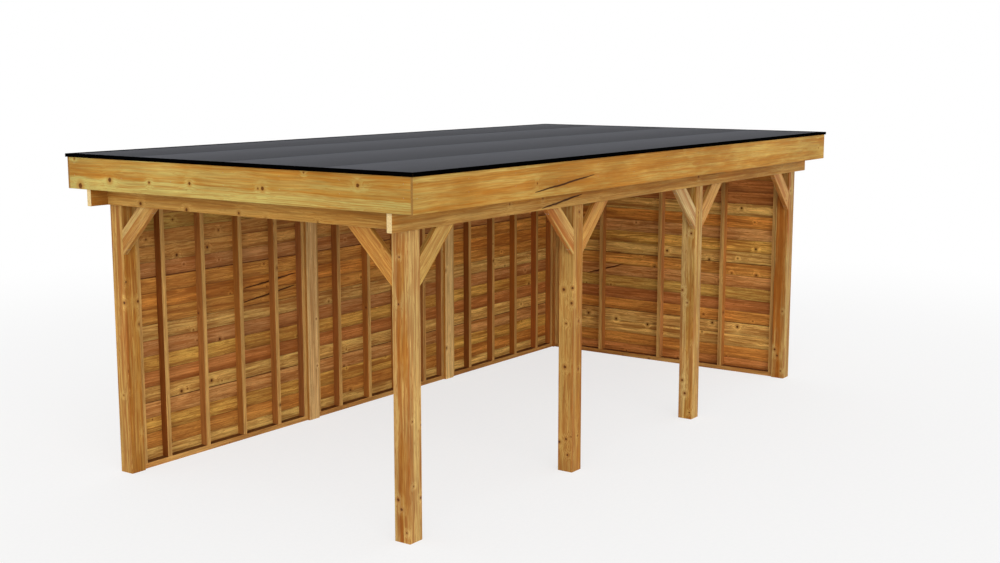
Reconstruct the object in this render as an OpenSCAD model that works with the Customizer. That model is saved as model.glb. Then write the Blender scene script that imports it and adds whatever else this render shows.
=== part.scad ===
// Freestanding timber veranda in millimetres: a flat roof on eight square posts,
// walled along the back and at one end, open along the front and at the other end.
// X runs along the front, +Y points to the back wall, and Z = 0 is the ground.
// The origin is the middle of the footprint.

/* [Frame] */
// Length over the outer faces of the corner posts
frame_l = 6550; // [5000:10:8000]
// Depth over the outer faces of the corner posts
frame_d = 3100; // [2500:10:3800]
// Clear height from the ground to the underside of the beams
clear_h = 2240; // [2050:10:2500]
// Side of a square post
post_w = 140; // [120:5:160]
// Width of the flat planed along the edges of posts, beams, braces and fascia
edge_ease = 3; // [1:0.5:5]

/* [Beams] */
// Thickness of a ring beam
beam_t = 45; // [35:1:60]
// Height of a ring beam
beam_h = 195; // [160:5:220]
// How deep a beam is let into the outer face of a post
notch_d = 15; // [8:1:25]

/* [Braces] */
// Thickness of a corner brace
brace_t = 45; // [30:1:60]
// Width of a corner brace across its grain
brace_w = 145; // [100:5:160]
// Reach of a brace along the beam and down the post
brace_leg = 405; // [350:5:600]

/* [Walls] */
// Thickness of a stud, a sill and a top rail
stud_t = 45; // [35:1:60]
// Depth of a stud from the room to the boards
stud_d = 70; // [50:1:80]
// Distance from the inner face of a post back to the studs
wall_inset = 25; // [5:1:35]
// Centre distance of the studs in the back wall
back_stud_pitch = 442; // [350:1:550]
// Centre distance of the studs in the end wall
end_stud_pitch = 774; // [500:1:850]
// How far the studs of the first back bay stand nearer the open end
first_bay_shift = 45; // [0:5:80]
// How far the walls rise behind the beams
wall_lap = 45; // [20:5:100]

/* [Boards] */
// Height of wall that one lapped board covers
board_cover = 132.5; // [100:0.5:180]
// Thickness of a board at its lower, outer edge
board_butt = 20; // [16:0.5:24]
// Thickness of a board at its upper edge
board_tip = 11; // [8:0.5:14]
// Gap between the ground and the lowest board
board_lift = 5; // [3:1:20]
// Depth of the shadow line on the room side of a joint between two boards
board_vee = 3; // [1:0.5:5]

/* [Roof] */
// Height of a roof joist
joist_h = 195; // [145:5:220]
// Thickness of a roof joist
joist_t = 45; // [35:1:60]
// Largest centre distance of the roof joists
joist_pitch = 600; // [450:10:700]
// Thickness of the roof boarding
deck_t = 18; // [15:1:25]
// Width of a roof board
deck_board = 121; // [90:1:150]
// Depth of the vee under a joint between two roof boards
deck_vee = 4; // [1:0.5:6]
// How far the roof boarding stands out over the fascia
deck_drip = 10; // [5:1:15]

/* [Fascia] */
// Height of the fascia board
fascia_h = 255; // [220:5:300]
// Thickness of the fascia board
fascia_t = 20; // [16:1:28]
// Distance from the end posts out to the face of the end fascia
over_end = 216; // [150:2:300]
// Distance from the front and back posts out to the face of the long fascia
over_side = 230; // [150:2:300]

/* [Covering] */
// Thickness of one layer of roof sheet
sheet_t = 4; // [3:0.5:6]
// Width of roof that one sheet covers, from lap to lap
sheet_cover = 980; // [800:10:1200]
// Distance from the middle of the roof to the lap nearest the front of it
first_lap = 70; // [0:10:300]
// Width of the overlap of two sheets
lap_w = 90; // [60:5:120]
// Height of the visible face of the edge trim
trim_h = 27; // [24:1:40]
// Thickness of the face of the edge trim
trim_t = 3; // [2:0.5:4]
// Thickness of the upper flange of the edge trim
flange_t = 4; // [2:0.5:6]
// Width of the upper flange, measured in from the face of the trim
flange_w = 40; // [25:1:60]
// Width of the open joint at each mitred corner of the trim
mitre_gap = 1; // [0.5:0.5:2]

/* [Hidden] */

timber = [0.80, 0.60, 0.33];
wall_timber = [0.68, 0.44, 0.24];
sheet_grey = [0.27, 0.28, 0.30];
trim_black = [0.03, 0.03, 0.03];

// Bays along the front and the back
bays = 3;
bay_pitch = (frame_l - post_w) / bays;
bay_clear = bay_pitch - post_w;
end_clear = frame_d - 2 * post_w;

// Heights from the ground up
beam_top = clear_h + beam_h;
wall_top = clear_h + wall_lap;
joist_top = beam_top + joist_h;
deck_top = joist_top + deck_t;
sheet_top = deck_top + sheet_t;
trim_top = sheet_top + flange_t;

// Half sizes in plan
half_l = frame_l / 2;
half_d = frame_d / 2;
fascia_x = half_l + over_end;
fascia_y = half_d + over_side;
deck_x = fascia_x + deck_drip;
deck_y = fascia_y + deck_drip;
beam_out = beam_t - notch_d;

// A box between two corners
module span(low, high) {
    translate(low)
        cube(high - low);
}

// Cross-section of a planed timber, with its edges eased
module planed_outline(w, h) {
    polygon([
        [edge_ease, 0], [w - edge_ease, 0],
        [w, edge_ease], [w, h - edge_ease],
        [w - edge_ease, h], [edge_ease, h],
        [0, h - edge_ease], [0, edge_ease]
    ]);
}

// Planed timbers between two corners, that run along X, along Y and upright
module planed_x(low, high) {
    size = high - low;
    translate(low)
        rotate([90, 0, 90])
            linear_extrude(size.x)
                planed_outline(size.y, size.z);
}

module planed_y(low, high) {
    size = high - low;
    translate([low.x, high.y, low.z])
        rotate([90, 0, 0])
            linear_extrude(size.y)
                planed_outline(size.x, size.z);
}

module planed_z(low, high) {
    size = high - low;
    translate(low)
        linear_extrude(size.z)
            planed_outline(size.x, size.y);
}

// Middle of a post along the front or the back, counted from the open end
function post_x(n) = -half_l + post_w / 2 + (n - 1) * bay_pitch;

// A post at the front, with its head cut back for the long beam.
// end is -1 or 1 where an end beam is let in too, and 0 elsewhere.
module front_post(n, end) {
    color(timber)
        difference() {
            planed_z([post_x(n) - post_w / 2, -half_d, 0],
                     [post_x(n) + post_w / 2, -half_d + post_w, beam_top]);
            span([post_x(n) - post_w, -half_d - beam_out, clear_h],
                 [post_x(n) + post_w, -half_d + notch_d, beam_top + beam_h]);
            if (end != 0)
                translate([end * half_l, -half_d + post_w / 2, clear_h + beam_h])
                    cube([2 * notch_d, 2 * post_w, 2 * beam_h], center = true);
        }
}

module back_post(n, end) {
    mirror([0, 1, 0])
        front_post(n, end);
}

// The long beams reach the end fascias, the end beams fit between them
module long_beam() {
    color(timber)
        planed_x([-fascia_x + fascia_t, -half_d - beam_out, clear_h],
                 [fascia_x - fascia_t, -half_d + notch_d, beam_top]);
}

module end_beam() {
    color(timber)
        planed_y([-half_l - beam_out, -half_d + notch_d, clear_h],
                 [-half_l + notch_d, half_d - notch_d, beam_top]);
}

// A brace at 45 degrees, with its foot on X = 0, its outer face on Y = 0 and
// the beam above it. It is cut upright at the post and level under the beam.
module brace() {
    length = brace_leg * sqrt(2);
    intersection() {
        span([0, 0, clear_h - brace_leg], [brace_leg, brace_t, clear_h]);
        translate([0, 0, clear_h - brace_leg])
            rotate([0, -45, 0])
                planed_x([0, 0, 0], [length, brace_t, brace_w]);
    }
}

// A brace between a front post and the long beam, flush with the post's face.
// side is 1 where it leans towards the closed end and -1 the other way.
module front_brace(n, side) {
    color(timber)
        translate([post_x(n) + side * post_w / 2, -half_d, 0])
            mirror([side < 0 ? 1 : 0, 0, 0])
                brace();
}

module open_end_brace() {
    color(timber)
        translate([-half_l, -half_d + post_w, 0])
            mirror([1, 0, 0])
                rotate([0, 0, 90])
                    brace();
}

// Cross-section of the boarding: flat towards the room, with a shadow line at
// each joint, and each board thick at its lower edge, where it laps over the
// one below.
// X is the distance out from the studs and Y is the height.
module board_outline() {
    rise = wall_top - board_lift;
    count = ceil(rise / board_cover);
    steps = [for (k = [0 : count - 1])
        let (low = k * board_cover, high = min(low + board_cover, rise))
        let (part = (high - low) / board_cover)
        each [[board_butt, low], [board_butt + (board_tip - board_butt) * part, high]]
    ];
    joints = [for (k = [count - 1 : -1 : 1])
        let (joint = k * board_cover)
        each [[0, joint + board_vee], [board_vee, joint], [0, joint - board_vee]]
    ];
    polygon(concat([[0, 0]], steps, [[0, rise]], joints));
}

// Middles of the studs in a wall of a given clear width, from its first post.
// The studs between the two at the posts stand at the pitch, about the middle.
function stud_places(clear, pitch, shift) =
    let (count = floor((clear - 2 * stud_t) / pitch))
    concat(
        [stud_t / 2],
        [for (k = [0 : count - 1]) clear / 2 - shift + (k - (count - 1) / 2) * pitch],
        [clear - stud_t / 2]
    );

// Parts of a wall that starts at a post, runs along +X and has the room at -Y.
// Its studs start at Y = 0.
module wall_sill(clear) {
    color(timber)
        cube([clear, stud_d, stud_t]);
}

module wall_rail(clear) {
    color(timber)
        translate([0, 0, wall_top - stud_t])
            cube([clear, stud_d, stud_t]);
}

module wall_studs(clear, pitch, shift) {
    color(timber)
        for (place = stud_places(clear, pitch, shift))
            translate([place - stud_t / 2, 0, stud_t])
                cube([stud_t, stud_d, wall_top - 2 * stud_t]);
}

module wall_boards(clear) {
    color(wall_timber)
        translate([0, stud_d, board_lift])
            rotate([90, 0, 90])
                linear_extrude(clear)
                    board_outline();
}

// Place of a back bay, counted from the open end, and of the end wall
module at_back_bay(n) {
    translate([post_x(n) + post_w / 2, half_d - post_w + wall_inset, 0])
        children();
}

module at_end_wall() {
    translate([half_l - post_w + wall_inset, end_clear / 2, 0])
        rotate([0, 0, -90])
            children();
}

// The long fascias cover the ends of the short ones
module long_fascia() {
    color(timber)
        planed_x([-fascia_x, -fascia_y, joist_top - fascia_h],
                 [fascia_x, -fascia_y + fascia_t, joist_top]);
}

module end_fascia() {
    color(timber)
        planed_y([-fascia_x, -fascia_y + fascia_t, joist_top - fascia_h],
                 [-fascia_x + fascia_t, fascia_y - fascia_t, joist_top]);
}

// Joists across the depth, the first and the last against the end fascias
module roof_joists() {
    reach = fascia_x - fascia_t - joist_t / 2;
    gaps = ceil(2 * reach / joist_pitch);
    color(timber)
        for (k = [0 : gaps])
            translate([-reach + k * 2 * reach / gaps - joist_t / 2, 0, beam_top])
                translate([0, -fascia_y + fascia_t, 0])
                    cube([joist_t, 2 * (fascia_y - fascia_t), joist_h]);
}

// Boards along the roof, side by side from its middle, with a vee under each joint
module roof_deck() {
    sides = floor((deck_y - deck_vee) / deck_board);
    joints = [for (k = [-sides : sides])
        let (joint = k * deck_board)
        each [[joint - deck_vee, 0], [joint, deck_vee], [joint + deck_vee, 0]]
    ];
    color(timber)
        translate([-deck_x, 0, joist_top])
            rotate([90, 0, 90])
                linear_extrude(2 * deck_x)
                    polygon(concat([[-deck_y, 0]], joints, [[deck_y, 0], [deck_y, deck_t], [-deck_y, deck_t]]));
}

// One flat sheet over the whole roof, with a raised strip at each lap
module roof_sheet() {
    edge = flange_w - trim_t;
    laps = [for (k = [-4 : 4])
        let (y = first_lap + k * sheet_cover)
        if (abs(y) < deck_y - edge - lap_w) y
    ];
    color(sheet_grey) {
        span([-deck_x, -deck_y, deck_top], [deck_x, deck_y, sheet_top]);
        for (y = laps)
            span([-deck_x + edge, y, deck_top + sheet_t / 2],
                 [deck_x - edge, y + lap_w, sheet_top + flange_t / 2]);
    }
}

// Cross-section of the trim: X is the distance out from the deck edge
module trim_outline() {
    polygon([
        [trim_t - flange_w, sheet_top],
        [0, sheet_top],
        [0, trim_top - trim_h],
        [trim_t, trim_top - trim_h],
        [trim_t, trim_top - flange_t / 2],
        [trim_t - flange_t / 2, trim_top],
        [trim_t - flange_w, trim_top]
    ]);
}

// One side of the trim, along +X with its face at -Y, mitred at both ends.
// reach is half of its length at the deck edge, out is its distance from the middle.
module trim_run(reach, out) {
    tip = reach + trim_t;
    intersection() {
        translate([-tip, -out, 0])
            rotate([90, 0, 90])
                linear_extrude(2 * tip)
                    mirror([1, 0, 0])
                        trim_outline();
        translate([0, 0, deck_top - trim_h])
            linear_extrude(2 * trim_h)
                polygon([
                    [-tip + mitre_gap, -out - trim_t],
                    [tip - mitre_gap, -out - trim_t],
                    [tip - mitre_gap - flange_w, -out - trim_t + flange_w],
                    [-tip + mitre_gap + flange_w, -out - trim_t + flange_w]
                ]);
    }
}

module roof_trim() {
    color(trim_black) {
        for (turn = [0, 180])
            rotate([0, 0, turn])
                trim_run(deck_x, deck_y);
        for (turn = [90, 270])
            rotate([0, 0, turn])
                trim_run(deck_y, deck_x);
    }
}

front_post(1, -1);  // front_post_1
front_post(2, 0);  // front_post_2
front_post(3, 0);  // front_post_3
front_post(4, 1);  // front_post_4
back_post(1, -1);  // back_post_1
back_post(2, 0);  // back_post_2
back_post(3, 0);  // back_post_3
back_post(4, 1);  // back_post_4
long_beam();  // front_beam
mirror([0, 1, 0]) long_beam();  // back_beam
end_beam();  // open_end_beam
mirror([1, 0, 0]) end_beam();  // closed_end_beam
front_brace(1, 1);  // front_brace_1
front_brace(2, -1);  // front_brace_2
front_brace(2, 1);  // front_brace_3
front_brace(3, -1);  // front_brace_4
front_brace(3, 1);  // front_brace_5
front_brace(4, -1);  // front_brace_6
open_end_brace();  // open_end_brace_front
mirror([0, 1, 0]) open_end_brace();  // open_end_brace_back
at_back_bay(1) wall_sill(bay_clear);  // back_sill_1
at_back_bay(2) wall_sill(bay_clear);  // back_sill_2
at_back_bay(3) wall_sill(bay_clear);  // back_sill_3
at_end_wall() wall_sill(end_clear);  // end_sill
at_back_bay(1) wall_studs(bay_clear, back_stud_pitch, first_bay_shift);  // back_studs_1
at_back_bay(2) wall_studs(bay_clear, back_stud_pitch, 0);  // back_studs_2
at_back_bay(3) wall_studs(bay_clear, back_stud_pitch, 0);  // back_studs_3
at_end_wall() wall_studs(end_clear, end_stud_pitch, 0);  // end_studs
at_back_bay(1) wall_rail(bay_clear);  // back_rail_1
at_back_bay(2) wall_rail(bay_clear);  // back_rail_2
at_back_bay(3) wall_rail(bay_clear);  // back_rail_3
at_end_wall() wall_rail(end_clear);  // end_rail
at_back_bay(1) wall_boards(bay_clear);  // back_boards_1
at_back_bay(2) wall_boards(bay_clear);  // back_boards_2
at_back_bay(3) wall_boards(bay_clear);  // back_boards_3
at_end_wall() wall_boards(end_clear);  // end_boards
long_fascia();  // front_fascia
mirror([0, 1, 0]) long_fascia();  // back_fascia
end_fascia();  // open_end_fascia
mirror([1, 0, 0]) end_fascia();  // closed_end_fascia
roof_joists();
roof_deck();
roof_sheet();
roof_trim();
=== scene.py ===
import math
import bmesh
import bpy
from mathutils import Euler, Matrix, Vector


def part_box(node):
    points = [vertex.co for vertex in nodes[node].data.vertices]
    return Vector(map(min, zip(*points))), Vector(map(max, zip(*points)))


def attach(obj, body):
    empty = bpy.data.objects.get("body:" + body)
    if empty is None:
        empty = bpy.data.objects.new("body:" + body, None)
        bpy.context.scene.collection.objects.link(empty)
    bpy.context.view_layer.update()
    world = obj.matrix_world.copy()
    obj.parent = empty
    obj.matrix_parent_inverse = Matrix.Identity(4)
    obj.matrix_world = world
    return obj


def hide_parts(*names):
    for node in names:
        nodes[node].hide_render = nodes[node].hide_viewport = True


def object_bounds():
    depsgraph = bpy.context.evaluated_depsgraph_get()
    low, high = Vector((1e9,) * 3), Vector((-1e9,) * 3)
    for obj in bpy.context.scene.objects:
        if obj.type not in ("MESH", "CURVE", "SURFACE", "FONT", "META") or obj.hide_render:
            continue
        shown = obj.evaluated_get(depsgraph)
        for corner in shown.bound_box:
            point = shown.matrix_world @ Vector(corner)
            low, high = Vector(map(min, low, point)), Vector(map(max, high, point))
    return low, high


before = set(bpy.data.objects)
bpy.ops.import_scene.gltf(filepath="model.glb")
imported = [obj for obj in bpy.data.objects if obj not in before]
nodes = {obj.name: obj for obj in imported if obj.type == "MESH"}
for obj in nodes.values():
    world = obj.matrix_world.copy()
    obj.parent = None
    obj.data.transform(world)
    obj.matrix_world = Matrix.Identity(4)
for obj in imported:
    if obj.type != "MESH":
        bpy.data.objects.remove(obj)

cadLow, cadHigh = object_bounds()
scene = bpy.context.scene
print("frame loaded:", len(nodes), "nodes")

# small helpers for building node trees


def hexTone(code):
    parts = [int(code[k:k + 2], 16) / 255 for k in (0, 2, 4)]
    return tuple(p / 12.92 if p <= 0.04045 else ((p + 0.055) / 1.055) ** 2.4 for p in parts) + (1.0,)


def fillSockets(tree, node, wanted):
    for key, value in wanted.items():
        socket = node.inputs[key]
        if isinstance(value, bpy.types.NodeSocket):
            tree.links.new(value, socket)
        elif socket.type == "RGBA" and isinstance(value, str):
            socket.default_value = hexTone(value)
        else:
            socket.default_value = value


def addNode(tree, kind, sockets=None, **settings):
    node = tree.nodes.new(kind)
    for key, value in settings.items():
        setattr(node, key, value)
    fillSockets(tree, node, sockets or {})
    return node


def nodeOut(tree, kind, sockets=None, **settings):
    return addNode(tree, kind, sockets, **settings).outputs[0]


def calc(tree, operation, a, b=0.0, c=0.0, clamp=False):
    return nodeOut(tree, "ShaderNodeMath", {0: a, 1: b, 2: c}, operation=operation, use_clamp=clamp)


def mathCall(operation):
    def call(tree, a, b=0.0, c=0.0, clamp=False):
        return calc(tree, operation, a, b, c, clamp)
    return call


times, timesPlus, plus = mathCall("MULTIPLY"), mathCall("MULTIPLY_ADD"), mathCall("ADD")
minus, over, larger = mathCall("SUBTRACT"), mathCall("DIVIDE"), mathCall("MAXIMUM")


def vectorCalc(tree, operation, a, b=(0, 0, 0), out="Vector"):
    return addNode(tree, "ShaderNodeVectorMath", {0: a, 1: b}, operation=operation).outputs[out]


def scaleVector(tree, vector, factor):
    return nodeOut(tree, "ShaderNodeVectorMath", {0: vector, "Scale": factor}, operation="SCALE")


def lengthOf(tree, vector):
    return vectorCalc(tree, "LENGTH", vector, out="Value")


def centred(tree, colour):  # noise that swings to both sides of nothing
    return vectorCalc(tree, "SUBTRACT", colour, (0.5, 0.5, 0.5))


def joinParts(tree, x=0.0, y=0.0, z=0.0):
    return nodeOut(tree, "ShaderNodeCombineXYZ", {0: x, 1: y, 2: z})


def splitParts(tree, vector):
    return addNode(tree, "ShaderNodeSeparateXYZ", {0: vector}).outputs


def blend(tree, factor, a, b):
    return addNode(tree, "ShaderNodeMix", {0: factor, 6: a, 7: b}, data_type="RGBA").outputs[2]


def ease(tree, value, low, high, outLow=0.0, outHigh=1.0, shape="SMOOTHSTEP"):
    sockets = {0: value, 1: low, 2: high, 3: outLow, 4: outHigh}
    return nodeOut(tree, "ShaderNodeMapRange", sockets, interpolation_type=shape)


def straight(tree, *values):
    return ease(tree, *values, shape="LINEAR")


def noise(tree, vector, detail=2.0, rough=0.5, out=0):
    sockets = {"Vector": vector, "Scale": 1.0, "Detail": detail, "Roughness": rough}
    return addNode(tree, "ShaderNodeTexNoise", sockets).outputs[out]


def rollDice(tree, vector):
    dice = addNode(tree, "ShaderNodeTexWhiteNoise", {"Vector": vector}, noise_dimensions="3D")
    return addNode(tree, "ShaderNodeSeparateColor", {0: dice.outputs["Color"]}).outputs


def newGroup(name, inputs, outputs, kind="Shader"):
    tree = bpy.data.node_groups.new(name, kind + "NodeTree")
    for way, wanted in (("INPUT", inputs), ("OUTPUT", outputs)):
        for socketKind, names in wanted.items():
            for label in names:
                tree.interface.new_socket(label, in_out=way, socket_type="NodeSocket" + socketKind)
    return tree, tree.nodes.new("NodeGroupInput").outputs, tree.nodes.new("NodeGroupOutput")


def newMaterial(name):
    material = bpy.data.materials.new(name)
    material.use_nodes = True
    tree = material.node_tree
    tree.nodes.clear()
    shader = addNode(tree, "ShaderNodeBsdfPrincipled")
    addNode(tree, "ShaderNodeOutputMaterial", {"Surface": shader.outputs[0]})
    return material, tree, shader


def objectPoint(tree):
    return addNode(tree, "ShaderNodeTexCoord").outputs["Object"]


def setFinish(tree, shader, tone, rough, height, bump, depth, gloss=0.5, metal=0.0):
    relief = nodeOut(tree, "ShaderNodeBump", {"Height": height, "Strength": bump, "Distance": depth})
    fillSockets(tree, shader, {
        "Base Color": tone, "Roughness": rough, "Specular IOR Level": gloss, "Metallic": metal,
        "Normal": relief,
    })


def dress(name, material):
    mesh = nodes[name].data
    mesh.materials.clear()
    mesh.materials.append(material)


def spans(name, axis):  # low and high sides of the like parts of a node along an axis
    marks = sorted({round(v.co[axis], 4) for v in nodes[name].data.vertices})
    return list(zip(marks[::2], marks[1::2]))


def stepRamp(tree, value, steps):  # steps of (start, tone), with hard edges between them
    ramp = addNode(tree, "ShaderNodeValToRGB", {0: value})
    ramp.color_ramp.interpolation = "CONSTANT"
    while len(ramp.color_ramp.elements) < len(steps):
        ramp.color_ramp.elements.new(0.999)
    for element, (start, tone) in zip(ramp.color_ramp.elements, steps):
        element.position = start
        element.color = hexTone(tone)
    return ramp.outputs[0]


# how strongly the grain bends round a knot, by radii from its middle
def swirlRound(tree, distance):
    return calc(tree, "EXPONENT", times(tree, calc(tree, "POWER", distance, 2.0), -0.07))


# one knot at a given place, added to those before it
def buildPinnedKnot():
    tree, given, output = newGroup(
        "pinnedKnot",
        {"Vector": ["point", "centre"], "Float": ["radius", "maskBefore", "swirlBefore"]},
        {"Float": ["mask", "swirl"]},
    )
    away = vectorCalc(tree, "SUBTRACT", given["point"], given["centre"])
    rough = noise(tree, scaleVector(tree, given["point"], 110.0), 2)
    distance = over(tree, lengthOf(tree, away), given["radius"])
    uneven = timesPlus(tree, minus(tree, rough, 0.5), 0.7, distance)
    mask = ease(tree, uneven, 0.75, 1.2, 1.0, 0.0)
    swirl = swirlRound(tree, distance)
    fillSockets(tree, output, {
        "mask": larger(tree, mask, given["maskBefore"]),
        "swirl": larger(tree, swirl, given["swirlBefore"]),
    })
    return tree


# a long drying crack between two points, dark and a little open
def buildShake():
    tree, given, output = newGroup(
        "dryingShake",
        {"Vector": ["point", "from", "along"], "Float": ["width", "maskBefore"]},
        {"Float": ["mask"]},
    )
    bent = centred(tree, noise(tree, scaleVector(tree, given["point"], 7.0), 3, out=1))
    point = vectorCalc(tree, "ADD", given["point"], scaleVector(tree, bent, 0.014))
    away = vectorCalc(tree, "SUBTRACT", point, given["from"])
    reach = vectorCalc(tree, "DOT_PRODUCT", given["along"], given["along"], out="Value")
    share = over(tree, vectorCalc(tree, "DOT_PRODUCT", away, given["along"], out="Value"), reach, clamp=True)
    distance = vectorCalc(tree, "DISTANCE", away, scaleVector(tree, given["along"], share), out="Value")
    taper = calc(tree, "SINE", times(tree, share, math.pi))
    half = timesPlus(tree, calc(tree, "POWER", taper, 0.35), given["width"], 0.0002)
    mask = ease(tree, over(tree, distance, half), 0.35, 1.0, 1.0, 0.0)
    fillSockets(tree, output, {"mask": larger(tree, mask, given["maskBefore"])})
    return tree


# sawn timber, with growth rings round a pith that wanders along the piece.
# point is in metres with X along the grain, facing is the surface's direction in the same axes.
grainShape = {
    "knotCell": (0.42, 0.13),  # metres of a face, along and across, that hold one scattered knot
    "knotLeast": 0.006,  # radius of the smallest, and how much more the largest has
    "knotMore": 0.008,
    "pithWander": 0.06,  # metres that the pith strays
    "ringRipple": 0.024,
    "knotBulge": 0.014,  # metres that the rings swell round a knot
    "grainSway": 0.035,
    "heartEdge": 0.008,  # half the width in which heartwood turns to sapwood
    "crackTone": "341402",
    "depth": 0.0007,  # metres that the grain stands up
}
figureScales = {  # how finely each kind of figure varies, along the grain and across it
    "knotEdge": (60, 120), "wander": (0.45, 1.1), "ripple": (1.7, 9), "ringMass": (0.5, 12), "sway": (1.5, 5),
    "broad": (0.9, 19), "middle": (2.4, 44), "fine": (4.5, 100), "fibre": (9, 420), "patch": (1.6, 7),
    "shade": (1.3, 2.6),
}


def buildTimberGrain():
    tree, given, output = newGroup(
        "timberGrain",
        {
            "Vector": ["point", "facing"],
            "Float": ["seed", "run", "ringGap", "ringDepth", "zoneDepth", "heartReach", "streak", "figure",
                      "knots", "endShare", "pinnedMask", "pinnedSwirl", "shake"],
            "Color": ["sapTone", "heartTone", "lateTone", "knotTone", "endTone"],
        },
        {"Color": ["tone"], "Float": ["rough", "height"]},
    )
    seed, sapTone, lateTone = given["seed"], given["sapTone"], given["lateTone"]
    seedShift = joinParts(tree, *(times(tree, seed, step) for step in (1.73, 0.91, 2.37)))

    def field(kind, detail=2.0, rough=0.5, out=0, point=None):
        along, across = figureScales[kind]
        scaled = vectorCalc(tree, "MULTIPLY", point or given["point"], (along, across, across))
        return noise(tree, vectorCalc(tree, "ADD", scaled, seedShift), detail, rough, out)

    def stray(kind, detail, reach):  # a slow drift across the grain
        return vectorCalc(tree, "MULTIPLY", centred(tree, field(kind, detail, out=1)), (0, reach, reach))

    # knots scattered on each face
    face = splitParts(tree, given["facing"])
    place = splitParts(tree, given["point"])
    onSide = calc(tree, "GREATER_THAN", calc(tree, "ABSOLUTE", face[1]), 0.7)
    onEnd = calc(tree, "GREATER_THAN", calc(tree, "ABSOLUTE", face[0]), 0.8)
    across = nodeOut(tree, "ShaderNodeMix", {0: onSide, 2: place[1], 3: place[2]})
    faceShift = plus(tree, times(tree, face[1], 3.7), times(tree, face[2], 8.3))
    cellLong, cellWide = grainShape["knotCell"]
    cellU = plus(tree, over(tree, place[0], cellLong), plus(tree, faceShift, seed))
    cellV = plus(tree, over(tree, across, cellWide), times(tree, seed, 0.37))
    cell = joinParts(tree, cellU, cellV)
    sockets = {"Vector": cell, "Scale": 1.0, "Randomness": 0.75}
    cells = addNode(tree, "ShaderNodeTexVoronoi", sockets, voronoi_dimensions="2D")
    inCell = vectorCalc(tree, "SUBTRACT", cell, cells.outputs["Position"])
    toKnot = vectorCalc(tree, "MULTIPLY", inCell, (cellLong, cellWide, 0))
    dice = addNode(tree, "ShaderNodeSeparateColor", {0: cells.outputs["Color"]}).outputs
    grown = calc(tree, "POWER", dice[0], 2.0)
    radius = timesPlus(tree, grown, grainShape["knotMore"], grainShape["knotLeast"])
    knotDistance = over(tree, lengthOf(tree, toKnot), radius)
    chosen = times(tree, calc(tree, "LESS_THAN", dice[1], given["knots"]), minus(tree, 1.0, onEnd))
    uneven = timesPlus(tree, minus(tree, field("knotEdge"), 0.5), 0.8, knotDistance)
    loose = times(tree, ease(tree, uneven, 0.6, 1.3, 1.0, 0.0), times(tree, chosen, 0.8))
    knotMask = larger(tree, loose, given["pinnedMask"])
    swirl = larger(tree, times(tree, swirlRound(tree, knotDistance), chosen), given["pinnedSwirl"])

    # growth rings
    wander = stray("wander", 1, grainShape["pithWander"])
    ripple = times(tree, minus(tree, field("ripple"), 0.5), grainShape["ringRipple"])
    wandered = vectorCalc(tree, "MULTIPLY", vectorCalc(tree, "ADD", given["point"], wander), (0, 1, 1))
    fromPith = plus(tree, lengthOf(tree, wandered), ripple)
    bulged = timesPlus(tree, swirl, grainShape["knotBulge"], fromPith)
    ring = calc(tree, "FRACT", over(tree, bulged, given["ringGap"]))
    late = times(tree, ease(tree, ring, 0.35, 0.9), ease(tree, ring, 0.92, 1.0, 1.0, 0.0))
    ringMass = timesPlus(tree, field("ringMass"), 1.6, -0.2, clamp=True)
    zone = calc(tree, "SINE", over(tree, bulged, times(tree, given["ringGap"], 0.55)))
    zoneMass = times(tree, timesPlus(tree, zone, 0.5, 0.5), given["zoneDepth"])

    # streaks of tone along the grain, and the thin wavy lines between them
    bend = times(tree, swirl, 0.35)
    swayed = vectorCalc(tree, "ADD", given["point"], stray("sway", 2, grainShape["grainSway"]))
    stretch = joinParts(tree, over(tree, 1.0, given["run"]), 1.0, 1.0)
    swayed = vectorCalc(tree, "MULTIPLY", swayed, stretch)
    broad = timesPlus(tree, bend, 0.3, field("broad", 3, 0.6, point=swayed))
    middle = plus(tree, bend, field("middle", 3, 0.6, point=swayed))
    fine = field("fine", 3, 0.65, point=swayed)
    fibre = field("fibre", 2, 0.6, point=swayed)
    heartIn = minus(tree, given["heartReach"], grainShape["heartEdge"])
    heartOut = plus(tree, given["heartReach"], grainShape["heartEdge"])
    heart = ease(tree, timesPlus(tree, minus(tree, broad, 0.5), 0.05, bulged), heartIn, heartOut, 1.0, 0.0)
    cloud = ease(tree, field("patch", 3, 0.6), 0.42, 0.62, 0.0, 0.55)
    mottled = blend(tree, cloud, given["heartTone"], sapTone)
    plain = blend(tree, heart, sapTone, mottled)
    base = blend(tree, zoneMass, plain, lateTone)
    ringShare = times(tree, times(tree, late, given["ringDepth"]), ringMass)
    ringed = blend(tree, ringShare, base, lateTone)
    darkStreak = times(tree, ease(tree, broad, 0.5, 0.34), given["streak"])
    paleStreak = times(tree, ease(tree, broad, 0.52, 0.68), given["streak"])
    streaked = blend(tree, times(tree, darkStreak, 0.7), ringed, lateTone)
    paler = blend(tree, times(tree, paleStreak, 0.6), streaked, sapTone)
    band = times(tree, ease(tree, middle, 0.53, 0.4), given["figure"])
    banded = blend(tree, times(tree, band, 0.75), paler, lateTone)
    crest = ease(tree, calc(tree, "ABSOLUTE", minus(tree, middle, 0.56)), 0.0, 0.02, 1.0, 0.0)
    crestTwo = ease(tree, calc(tree, "ABSOLUTE", minus(tree, broad, 0.47)), 0.0, 0.012, 1.0, 0.0)
    lines = times(tree, larger(tree, crest, crestTwo), times(tree, given["figure"], 0.9), clamp=True)
    lined = blend(tree, lines, banded, lateTone)
    fineShade = straight(tree, fine, 0.3, 0.7, 0.8, 1.16)
    fibreShade = straight(tree, fibre, 0.3, 0.7, 0.94, 1.06)
    patchShade = straight(tree, field("shade"), 0.3, 0.7, 0.87, 1.11)
    shaded = scaleVector(tree, lined, times(tree, times(tree, fineShade, fibreShade), patchShade))

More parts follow.
